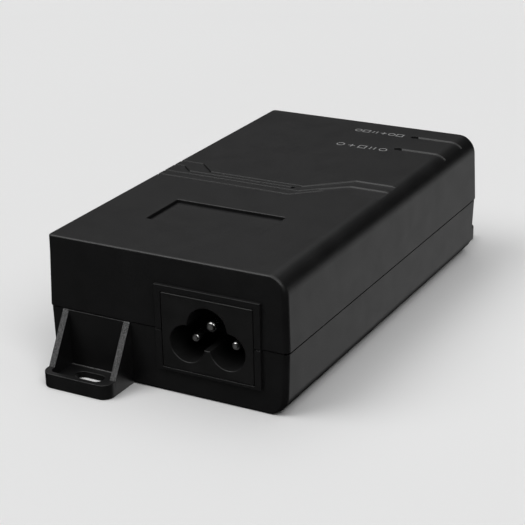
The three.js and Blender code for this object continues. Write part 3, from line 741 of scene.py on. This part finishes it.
def build_inlet():
    low, high = INLET_LOW, INLET_HIGH
    y0, y1 = PANEL_Y - PANEL_HALF, PANEL_Y + PANEL_HALF
    body = prism(rounded(y0, y1, PANEL_BOTTOM, PANEL_TOP, 0.25, 3), "x", low.x, high.x, "inlet_panel")
    join(body, box(-50.7, -49, y0 - 1.2, y1 + 1.2, low.z, high.z))
    floor = low.x + LOBE_DEPTH
    axes = {name: pin_axis(name) for name in LOBE_RADII}
    for name, (y, z, _, _) in axes.items():
        cut(body, rod("x", y, z, LOBE_RADII[name], low.x - 1, floor, 72))
    cut(body, *[rod("x", y, z, radius + 0.1, low.x, high.x + 1, 32) for y, z, radius, _ in axes.values()])
    clean(body)

    def rim(p):
        return p.x < low.x + 0.05

    soften(body, 0.22, rim, 3)
    return finish_piece(body, INLET, ["inlet_body"])


def build_pins():
    for name in LOBE_RADII:
        y, z, radius, tip = pin_axis(name)
        end = node_box(name)[1].x
        dome = [(0, tip)] + [(radius * (0.4 + 0.6 * math.sin(math.radians(a))),
                              tip + 0.6 * radius * (1 - math.cos(math.radians(a))))
                             for a in range(0, 91, 10)]
        pin = lathe(name + "_bright", dome + [(radius, end), (0, end)], "x", y, z)
        tail_x = end - 0.6
        join(pin, rod("z", tail_x, y, 0.6, 3, z, 20))
        finish_piece(pin, PLATING, [name])


# ------------------------------------------------------------------ RJ45 sockets


def build_jack(prefix):
    low, high = node_box(prefix + "_shield")
    y = (low.y + high.y) / 2
    sheet = 0.35
    shield = box(low.x, high.x, low.y, high.y, low.z, high.z, prefix + "_shield_metal")
    cut(shield, box(low.x + sheet, high.x + 1, low.y + sheet, high.y - sheet, low.z - 1, high.z - sheet))
    for side in (-1, 1):
        wall = y + side * (high.y - low.y) / 2
        for x in (high.x - 6.5, high.x - 11.5):
            cut(shield, box(x, x + 2.6, wall - 1, wall + 1, low.z + 4, low.z + 4.4),
                box(x, x + 2.6, wall - 1, wall + 1, low.z + 7, low.z + 7.4),
                box(x, x + 0.4, wall - 1, wall + 1, low.z + 4, low.z + 7.4))
    soften(shield, 0.12, lambda p: True)
    finish_piece(shield, SHIELD, [prefix + "_shield"])

    in_low, in_high = node_box(prefix + "_insert")
    floor = in_low.z + 3.2
    port = [(y - 3.1, floor - 1.9), (y + 3.1, floor - 1.9), (y + 3.1, floor), (y + 5.9, floor),
            (y + 5.9, floor + 6.9), (y - 5.9, floor + 6.9), (y - 5.9, floor), (y - 3.1, floor)]
    insert = box(in_low.x, in_high.x, in_low.y, in_high.y, in_low.z, in_high.z, prefix + "_socket")
    cut(insert, prism(port, "x", low.x + 3.4, high.x + 1))
    clean(insert)
    soften(insert, 0.25, lambda p: p.x > in_high.x - 0.05, 2)
    finish_piece(insert, JACK, [prefix + "_insert"])

    back = high.x - 12.3
    roof = floor + 6.6
    comb = box(back, back + 1.5, y - 5.2, y + 5.2, roof - 2.0, roof, prefix + "_comb")
    soften(comb, 0.15, lambda p: True)
    finish_piece(comb, JACK)
    path = [(back + 1.2, roof - 1.75), (back + 4.0, roof - 1.2), (back + 7.4, roof - 0.5),
            (back + 8.3, roof - 0.36), (back + 8.9, roof - 0.25), (back + 9.2, roof - 0.2)]
    points, faces = [], []
    sides = 8
    for i in range(8):
        wire_y = y + (i - 3.5) * 1.02
        base = len(points)
        for x, z in path:
            points += [(x, wire_y + 0.17 * math.cos(t), z + 0.17 * math.sin(t))
                       for t in [2 * math.pi * k / sides for k in range(sides)]]
        for r in range(len(path) - 1):
            for k in range(sides):
                n = (k + 1) % sides
                faces.append((base + r * sides + k, base + r * sides + n,
                              base + (r + 1) * sides + n, base + (r + 1) * sides + k))
        faces.append(tuple(base + k for k in range(sides)))
        faces.append(tuple(base + (len(path) - 1) * sides + k for k in range(sides)))
    wires = make_object(prefix + "_wires", points, faces)
    finish_piece(wires, GOLD, [prefix + "_contacts"])


# ------------------------------------------------------------------ small outside pieces


def build_light_pipe(kind):
    name = kind + "_light_pipe"
    low = node_box(name)[0]
    x = LED_XS[kind]
    collar = HEIGHT - WALL - 0.3
    top = HEIGHT - 0.5
    crown = [(0.82 * math.sin(math.radians(a)), top - 0.25 * (1 - math.cos(math.radians(a))))
             for a in range(90, -1, -10)]
    profile = [(0, low.z), (0.9, low.z), (0.9, collar - 1), (1.7, collar - 1), (1.7, collar),
               (0.82, collar)] + crown
    pipe = lathe(name + "_clear", profile, "z", x, LED_Y, 32)
    finish_piece(pipe, LENS, [name])


def build_screw(index, x, y):
    name = "case_screw_%d" % index
    low, high = node_box(name)
    head = [(0, low.z + 0.02), (1.2, low.z), (1.9, low.z + 0.12), (2.35, low.z + 0.4), (2.6, low.z + 0.9),
            (2.6, 2.7), (1.3, 2.7)]
    thread = []
    z = 3.4
    while z < high.z - 2.2:
        thread += [(1.05, z), (1.3, z + 0.25), (1.05, z + 0.5)]
        z += 0.9
    screw = lathe(name + "_steel", head + thread + [(1.0, high.z - 1.5), (0, high.z)], "z", x, y, 32)
    cross = [box(x - a, x + a, y - b, y + b, low.z - 1, low.z + 1.1) for a, b in ((1.45, 0.32), (0.32, 1.45))]
    cut(screw, *cross)
    finish_piece(screw, SCREW, [name])


def build_label():
    low, high = node_box("rating_label")
    sheet = prism(rounded(low.x, high.x, low.y, high.y, 1.5, 8), "z", low.z, high.z, "blank_label")
    soften(sheet, 0.04, lambda p: True, 1)
    finish_piece(sheet, LABEL, ["rating_label"])


def bar(x0, x1, y0, y1):
    return [(x0, y0), (x1, y0), (x1, y1), (x0, y1)]


def stroke(points, width):
    left, right = strip_outline(points, width)
    return [tuple(p) for p in left] + [tuple(p) for p in reversed(right)]


INK_LINE = 0.25


def print_marks(name, outlines):
    """Thin ink pieces just above the lid."""
    points, faces = [], []
    for outline in outlines:
        n, base = len(outline), len(points)
        for z in (HEIGHT + 0.002, HEIGHT + 0.02):
            points += [(x, y, z) for x, y in outline]
        faces.append(tuple(range(base, base + n)))
        faces.append(tuple(range(base + n, base + 2 * n)))
        for i in range(n):
            j = (i + 1) % n
            faces.append((base + i, base + j, base + n + j, base + n + i))
    marks = make_object(name, points, faces)
    finish_piece(marks, INK, smooth=False)


def ring_mark(x, y, r):
    return [stroke(arc(x, y, r, start, start + 180, 16), INK_LINE) for start in (0, 180)]


def square_mark(x, y, r):
    half = INK_LINE / 2
    return [bar(x - r - half, x - r + half, y - r - half, y + r + half),
            bar(x + r - half, x + r + half, y - r - half, y + r + half),
            bar(x - r + half, x + r - half, y - r - half, y - r + half),
            bar(x - r + half, x + r - half, y + r - half, y + r + half)]


def plus_mark(x, y, r):
    half = INK_LINE / 2
    return [bar(x - r, x + r, y - half, y + half), bar(x - half, x + half, y + half, y + r),
            bar(x - half, x + half, y - r, y - half)]


def bars_mark(x, y, r):
    half = INK_LINE / 2
    return [bar(x - r, x + r, y + d - half, y + d + half) for d in (-0.6 * r, 0.6 * r)]


def build_print():
    """Two rows of plain signs beside the status lights."""
    rows = {
        "power_marks": (32.9, 0.95, (-0.6, -3.7, -6.7, -9.6, -12.5),
                        (ring_mark, plus_mark, square_mark, bars_mark, ring_mark)),
        "activity_marks": (45.6, 0.85, (0.2, -2.1, -4.6, -7.0, -9.3, -11.6),
                           (ring_mark, square_mark, bars_mark, plus_mark, ring_mark, square_mark)),
    }
    for name, (x, r, places, signs) in rows.items():
        print_marks(name, [outline for y, sign in zip(places, signs) for outline in sign(x, y, r)])


# ------------------------------------------------------------------ inside pieces

INSIDE = {
    # material name: (nodes, dark, light, roughness, metallic)
    "board laminate": (["main_board"], (0.01, 0.06, 0.02), (0.015, 0.085, 0.03), 0.45, 0.0),
    "insulation film": (["insulation_sheet"], (0.5, 0.5, 0.46), (0.6, 0.6, 0.55), 0.5, 0.0),
    "fuse ceramic": (["fuse"], (0.72, 0.7, 0.64), (0.82, 0.8, 0.74), 0.5, 0.0),
    "film capacitor": (["x_capacitor"], (0.62, 0.4, 0.02), (0.75, 0.5, 0.04), 0.45, 0.0),
    "ferrite": (["choke_core", "transformer_core"], (0.02, 0.02, 0.022), (0.035, 0.035, 0.04), 0.6, 0.0),
    "copper winding": (["choke_winding", "output_inductor"],
                       (0.45, 0.14, 0.05), (0.62, 0.22, 0.08), 0.35, 1.0),
    "chip epoxy": (["bridge_rectifier", "switching_transistor", "output_rectifier", "optocoupler",
                    "network_magnetics", "poe_controller"],
                   (0.008, 0.008, 0.009), (0.014, 0.014, 0.015), 0.5, 0.0),
    "capacitor sleeve": (["bulk_capacitor", "output_capacitor_a", "output_capacitor_b"],
                         (0.01, 0.014, 0.02), (0.016, 0.022, 0.032), 0.35, 0.0),
    "heat sink": (["primary_heat_sink", "secondary_heat_sink"],
                  (0.42, 0.43, 0.44), (0.5, 0.51, 0.52), 0.4, 1.0),
    "winding tape": (["transformer_winding"], (0.62, 0.5, 0.04), (0.75, 0.62, 0.07), 0.4, 0.0),
    "disc capacitor": (["y_capacitor"], (0.02, 0.1, 0.3), (0.03, 0.14, 0.38), 0.4, 0.0),
    "led lens": (["power_led", "activity_led"], (0.6, 0.62, 0.62), (0.72, 0.74, 0.74), 0.2, 0.0),
}


def dress_inside():
    """The CAD's own inside pieces keep their meshes and only get their materials."""
    for name, (nodes, dark, light, roughness, metallic) in INSIDE.items():
        mat = material(name, dark, roughness, metallic)
        vary(mat, 1.5, dark, light, roughness - 0.06, roughness + 0.08)
        bump(mat, [(noise(mat, 0.4, 3.0), 0.01)])
        for node in nodes:
            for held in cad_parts[node].material_slots:
                held.material = mat


# ------------------------------------------------------------------ stage, light and camera

FLOOR_COLOUR = (0.86, 0.86, 0.86)
FLOOR_REACH = 6.0        # metres
FLOOR_DROP = 0.0001      # metres below the object, so that the two don't touch

# The studio's soft lights: azimuth and elevation of the middle in degrees (azimuth 0 is +X and
# 90 is +Y), how wide the light is in degrees, and how bright it is.
STUDIO = [
    (0, 90, 50, 1.1),        # overhead
    (130, 50, 25, 3.0),      # key, behind on the left
    (240, 45, 20, 3.0),      # fill, in front on the right
    (30, 45, 25, 0.5),       # rim, behind on the right
    (330, -20, 25, 0.6),     # low, on the right
    (150, -20, 25, 0.06),    # low, on the left
]

FOCAL_LENGTH = 106.5
CAMERA_PLACE = (-311.8, -167.3, 154.4)
CAMERA_ANGLES = (28.93, 22.06, -1.27)    # heading from +X, dip below level, roll, in degrees


def build_stage():
    """A plain pale floor, lit by the studio and left out of the object's reflections.

    The two low lights reach the object through it, for want of a mirrored floor.
    """
    mat = material("floor", FLOOR_COLOUR, 0.9, specular=0.0)
    signal = spread(mat, noise(mat, 400.0), 0.0, 1.0)
    pale = tint(mat, signal, FLOOR_COLOUR, tuple(c + 0.02 for c in FLOOR_COLOUR))
    link(mat, pale, mat.node_tree.nodes["Principled BSDF"].inputs["Base Color"])
    mesh = bpy.data.meshes.new("floor")
    corners = [(-1, -1), (1, -1), (1, 1), (-1, 1)]
    mesh.from_pydata([(FLOOR_REACH * x, FLOOR_REACH * y, -FLOOR_DROP) for x, y in corners],
                     [], [(0, 1, 2, 3)])
    mesh.materials.append(mat)
    floor = bpy.data.objects.new("floor", mesh)
    scene.collection.objects.link(floor)
    floor.visible_glossy = False


def build_world():
    """The studio's soft lights, added up by direction."""
    world = bpy.data.worlds.new("studio")
    scene.world = world
    world.use_nodes = True
    background = world.node_tree.nodes["Background"]
    background.inputs["Color"].default_value = (1, 1, 1, 1)
    direction = add_node(world, "ShaderNodeTexCoord").outputs["Generated"]
    total = 0.0
    for azimuth, elevation, width, brightness in STUDIO:
        a, e = math.radians(azimuth), math.radians(elevation)
        facing = add_node(world, "ShaderNodeVectorMath", operation="DOT_PRODUCT")
        facing.inputs[1].default_value = (math.cos(a) * math.cos(e), math.sin(a) * math.cos(e), math.sin(e))
        link(world, direction, facing.inputs[0])
        edge = math.cos(math.radians(width))
        lobe = add_node(world, "ShaderNodeMapRange", interpolation_type="SMOOTHSTEP")
        lobe.inputs["From Min"].default_value = edge
        lobe.inputs["From Max"].default_value = 1 - (1 - edge) * 0.25
        lobe.inputs["To Min"].default_value = 0.0
        lobe.inputs["To Max"].default_value = brightness
        link(world, facing.outputs["Value"], lobe.inputs["Value"])
        total = compute(world, "ADD", total, lobe.outputs["Result"])
    link(world, total, background.inputs["Strength"])


def build_camera():
    """A camera in front of the inlet end and on its right, looking down on the case."""
    data = bpy.data.cameras.new("camera")
    data.lens = FOCAL_LENGTH
    data.sensor_width = 36
    data.clip_start, data.clip_end = 0.01, 50
    camera = bpy.data.objects.new("camera", data)
    scene.collection.objects.link(camera)
    heading, dip, roll = (math.radians(angle) for angle in CAMERA_ANGLES)
    turn = (Matrix.Rotation(heading - math.pi / 2, 4, "Z") @ Matrix.Rotation(math.pi / 2 - dip, 4, "X")
            @ Matrix.Rotation(roll, 4, "Z"))
    camera.matrix_world = Matrix.Translation(Vector(CAMERA_PLACE) * MM) @ turn
    scene.camera = camera


# ------------------------------------------------------------------ the whole model

scene.view_settings.view_transform = "Standard"
build_camera()
build_upper()
build_lower()
build_inlet()
build_pins()
for jack_name in ("lan_jack", "poe_jack"):
    build_jack(jack_name)
for led_kind in LED_KINDS:
    build_light_pipe(led_kind)
for number, (post_x, post_y) in enumerate(POSTS, 1):
    build_screw(number, post_x, post_y)
build_label()
build_print()
dress_inside()
build_stage()
build_world()
